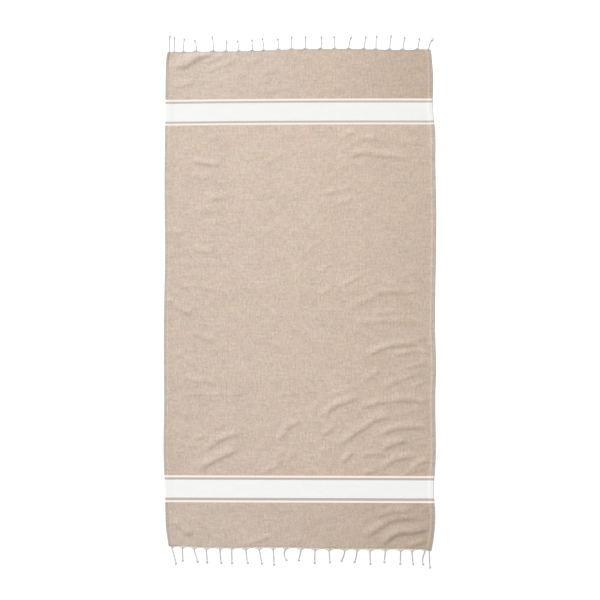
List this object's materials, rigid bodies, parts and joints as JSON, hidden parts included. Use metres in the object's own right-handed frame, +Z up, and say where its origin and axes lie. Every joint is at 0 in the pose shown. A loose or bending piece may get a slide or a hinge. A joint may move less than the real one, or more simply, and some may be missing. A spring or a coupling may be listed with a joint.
{
  "type": "beach towel",
  "caption": "Flat-woven cotton beach towel laid open, with narrow side hems, woven bands near both ends and knotted tassels along both ends.",
  "frame": {"origin": "on the ground under the middle of the towel and its tassels", "axes": "+Y along the towel's length towards the far end of the picture, +X across it to the right, +Z up"},
  "size_m": [1.0004, 1.9698, 0.007],
  "materials": {
    "woven_cloth": "matte flat weave of white warp and beige weft, with white bands",
    "white_warp": "matte twisted white cotton yarn"
  },
  "bodies": {
    "root": {"cloth": "woven_cloth", "fringe_far": "white_warp", "fringe_near": "white_warp"}
  },
  "joints": []
}
